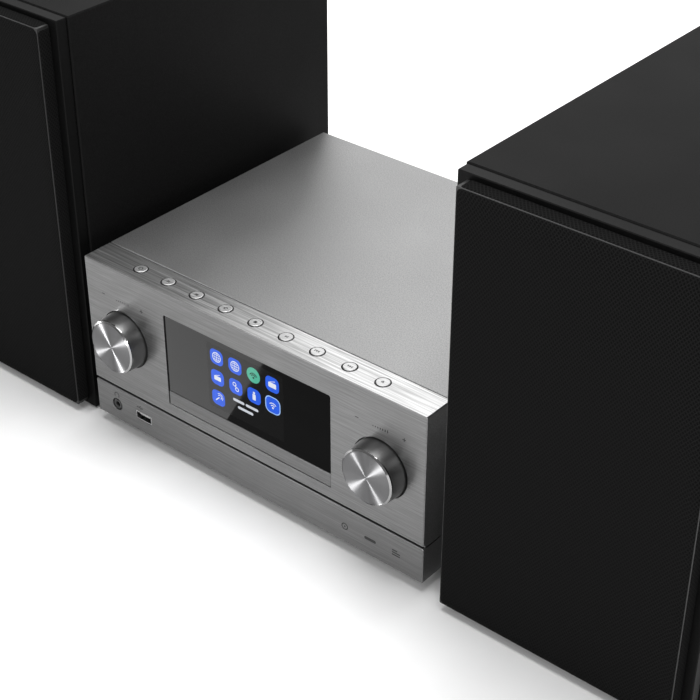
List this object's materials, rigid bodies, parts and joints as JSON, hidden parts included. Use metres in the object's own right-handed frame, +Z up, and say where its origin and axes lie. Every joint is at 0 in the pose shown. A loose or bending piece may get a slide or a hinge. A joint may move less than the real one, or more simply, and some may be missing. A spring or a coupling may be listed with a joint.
{
  "type": "mini hifi system",
  "caption": "Compact CD receiver with a brushed metal front, two large knobs, a colour display and a disc tray, between two cloth-fronted black bookshelf speakers.",
  "frame": {"origin": "middle of the whole system's footprint, on the surface it stands on", "axes": "+X to the viewer's right along the row of three boxes, +Y to the back, +Z up"},
  "size_m": [0.6376, 0.2664, 0.2846],
  "materials": {
    "brushed_aluminium": "fine horizontal brushing, clear anodised",
    "satin_silver": "fine bead-blasted satin silver",
    "spun_aluminium": "turned, concentric lathe lines on the face",
    "black_glass": "polished black",
    "black_plastic": "fine moulded texture",
    "black_rubber": "matt",
    "zinc_steel": "zinc plated sheet",
    "circuit_board": "green solder mask",
    "heat_sink_black": "black anodised",
    "cabinet_black": "satin black foil over fibreboard",
    "baffle_black": "satin black paint over fibreboard",
    "grille_cloth": "black woven speaker cloth",
    "cone_grey": "dark grey pressed cone",
    "nickel": "nickel plated"
  },
  "bodies": {
    "receiver": {"front_panel": "brushed_aluminium", "lower_fascia": "brushed_aluminium", "top_cover": "satin_silver", "chassis_base": "zinc_steel", "rear_panel": "zinc_steel", "sub_front_frame": "black_plastic", "display_glass": "black_glass", "display_module": "black_plastic", "loader_frame": "black_plastic", "spindle_motor": "zinc_steel", "sled_rod": "nickel", "tune_encoder": "zinc_steel", "volume_encoder": "zinc_steel", "button_board": "circuit_board", "headphone_jack": "black_plastic", "usb_socket": "nickel", "mains_inlet": "black_plastic", "speaker_terminals": "black_plastic", "aerial_socket": "nickel", "main_board": "circuit_board", "mains_transformer": "zinc_steel", "heat_sink": "heat_sink_black", "foot_front_left": "black_rubber", "foot_front_right": "black_rubber", "foot_rear_left": "black_rubber", "foot_rear_right": "black_rubber"},
    "tune_shaft": {"tune_shaft": "nickel"},
    "tune_knob": {"tune_knob": "spun_aluminium"},
    "volume": {"volume_knob": "spun_aluminium", "volume_shaft": "nickel"},
    "power_button": {"power_button": "spun_aluminium"},
    "source_button": {"source_button": "spun_aluminium"},
    "menu_button": {"menu_button": "spun_aluminium"},
    "repeat_button": {"repeat_button": "spun_aluminium"},
    "stop_button": {"stop_button": "spun_aluminium"},
    "play_button": {"play_button": "spun_aluminium"},
    "previous_button": {"previous_button": "spun_aluminium"},
    "next_button": {"next_button": "spun_aluminium"},
    "eject_button": {"eject_button": "spun_aluminium"},
    "tray": {"tray_door": "brushed_aluminium", "disc_tray": "black_plastic"},
    "tray_gear": {"tray_gear": "black_plastic"},
    "turntable": {"turntable_hub": "black_plastic"},
    "clamp": {"disc_clamp": "black_plastic"},
    "sled": {"laser_sled": "black_plastic"},
    "lead_screw": {"lead_screw": "nickel"},
    "left_speaker": {"left_cabinet": "cabinet_black", "left_baffle": "baffle_black", "left_woofer_frame": "black_plastic", "left_tweeter": "black_plastic", "left_terminal_cup": "black_plastic"},
    "left_grille": {"left_grille": "grille_cloth"},
    "left_woofer": {"left_woofer_cone": "cone_grey"},
    "right_speaker": {"right_cabinet": "cabinet_black", "right_baffle": "baffle_black", "right_woofer_frame": "black_plastic", "right_tweeter": "black_plastic", "right_terminal_cup": "black_plastic"},
    "right_grille": {"right_grille": "grille_cloth"},
    "right_woofer": {"right_woofer_cone": "cone_grey"}
  },
  "joints": [
    {"name": "tune_turn", "type": "hinge", "parent": "receiver", "child": "tune_shaft", "pos_m": [-0.1068, -0.1203, 0.0774], "axis": [0, 1, 0], "continuous": true},
    {"name": "tune_push", "type": "slide", "parent": "tune_shaft", "child": "tune_knob", "axis": [0, 1, 0], "range_m": [0, 0.0008], "stiffness_N_per_m": 1500, "springref_m": -0.001},
    {"name": "volume_turn", "type": "hinge", "parent": "receiver", "child": "volume", "pos_m": [0.1068, -0.1203, 0.0774], "axis": [0, 1, 0], "continuous": true},
    {"name": "power_button_press", "type": "slide", "parent": "receiver", "child": "power_button", "axis": [0, 0, -1], "range_m": [0, 0.0008], "stiffness_N_per_m": 900, "springref_m": -0.001},
    {"name": "source_button_press", "type": "slide", "parent": "receiver", "child": "source_button", "axis": [0, 0, -1], "range_m": [0, 0.0008], "stiffness_N_per_m": 900, "springref_m": -0.001},
    {"name": "menu_button_press", "type": "slide", "parent": "receiver", "child": "menu_button", "axis": [0, 0, -1], "range_m": [0, 0.0008], "stiffness_N_per_m": 900, "springref_m": -0.001},
    {"name": "repeat_button_press", "type": "slide", "parent": "receiver", "child": "repeat_button", "axis": [0, 0, -1], "range_m": [0, 0.0008], "stiffness_N_per_m": 900, "springref_m": -0.001},
    {"name": "stop_button_press", "type": "slide", "parent": "receiver", "child": "stop_button", "axis": [0, 0, -1], "range_m": [0, 0.0008], "stiffness_N_per_m": 900, "springref_m": -0.001},
    {"name": "play_button_press", "type": "slide", "parent": "receiver", "child": "play_button", "axis": [0, 0, -1], "range_m": [0, 0.0008], "stiffness_N_per_m": 900, "springref_m": -0.001},
    {"name": "previous_button_press", "type": "slide", "parent": "receiver", "child": "previous_button", "axis": [0, 0, -1], "range_m": [0, 0.0008], "stiffness_N_per_m": 900, "springref_m": -0.001},
    {"name": "next_button_press", "type": "slide", "parent": "receiver", "child": "next_button", "axis": [0, 0, -1], "range_m": [0, 0.0008], "stiffness_N_per_m": 900, "springref_m": -0.001},
    {"name": "eject_button_press", "type": "slide", "parent": "receiver", "child": "eject_button", "axis": [0, 0, -1], "range_m": [0, 0.0008], "stiffness_N_per_m": 900, "springref_m": -0.001},
    {"name": "tray_slide", "type": "slide", "parent": "receiver", "child": "tray", "axis": [0, -1, 0], "range_m": [0, 0.135]},
    {"name": "tray_gear_turn", "type": "hinge", "parent": "receiver", "child": "tray_gear", "pos_m": [-0.052, -0.10245, 0.046], "axis": [0, 0, 1], "range_deg": [-970, 3]},
    {"name": "turntable_spin", "type": "hinge", "parent": "receiver", "child": "turntable", "pos_m": [0, -0.0476, 0.048], "axis": [0, 0, 1], "continuous": true},
    {"name": "clamp_spin", "type": "hinge", "parent": "receiver", "child": "clamp", "pos_m": [0, -0.0476, 0.055], "axis": [0, 0, 1], "continuous": true},
    {"name": "lead_screw_turn", "type": "hinge", "parent": "receiver", "child": "lead_screw", "pos_m": [0.009, -0.0476, 0.03885], "axis": [0, 1, 0], "range_deg": [0, 4100]},
    {"name": "sled_slide", "type": "slide", "parent": "receiver", "child": "sled", "axis": [0, 1, 0], "range_m": [0, 0.0341]},
    {"name": "left_speaker_shift", "type": "slide", "parent": "receiver", "child": "left_speaker", "axis": [-1, 0, 0], "range_m": [0, 0.15]},
    {"name": "left_grille_pull", "type": "slide", "parent": "left_speaker", "child": "left_grille", "axis": [0, -1, 0], "range_m": [0, 0.025]},
    {"name": "left_woofer_stroke", "type": "slide", "parent": "left_speaker", "child": "left_woofer", "axis": [0, -1, 0], "range_m": [-0.003, 0.003], "stiffness_N_per_m": 1500},
    {"name": "right_speaker_shift", "type": "slide", "parent": "receiver", "child": "right_speaker", "axis": [1, 0, 0], "range_m": [0, 0.15]},
    {"name": "right_grille_pull", "type": "slide", "parent": "right_speaker", "child": "right_grille", "axis": [0, -1, 0], "range_m": [0, 0.025]},
    {"name": "right_woofer_stroke", "type": "slide", "parent": "right_speaker", "child": "right_woofer", "axis": [0, -1, 0], "range_m": [-0.003, 0.003], "stiffness_N_per_m": 1500}
  ],
  "couplings": [
    {"joint": "tray_gear_turn", "follows": "tray_slide", "rad_per_m": -125},
    {"joint": "clamp_spin", "follows": "turntable_spin", "ratio": 1},
    {"joint": "lead_screw_turn", "follows": "sled_slide", "rad_per_m": 2094.4}
  ]
}
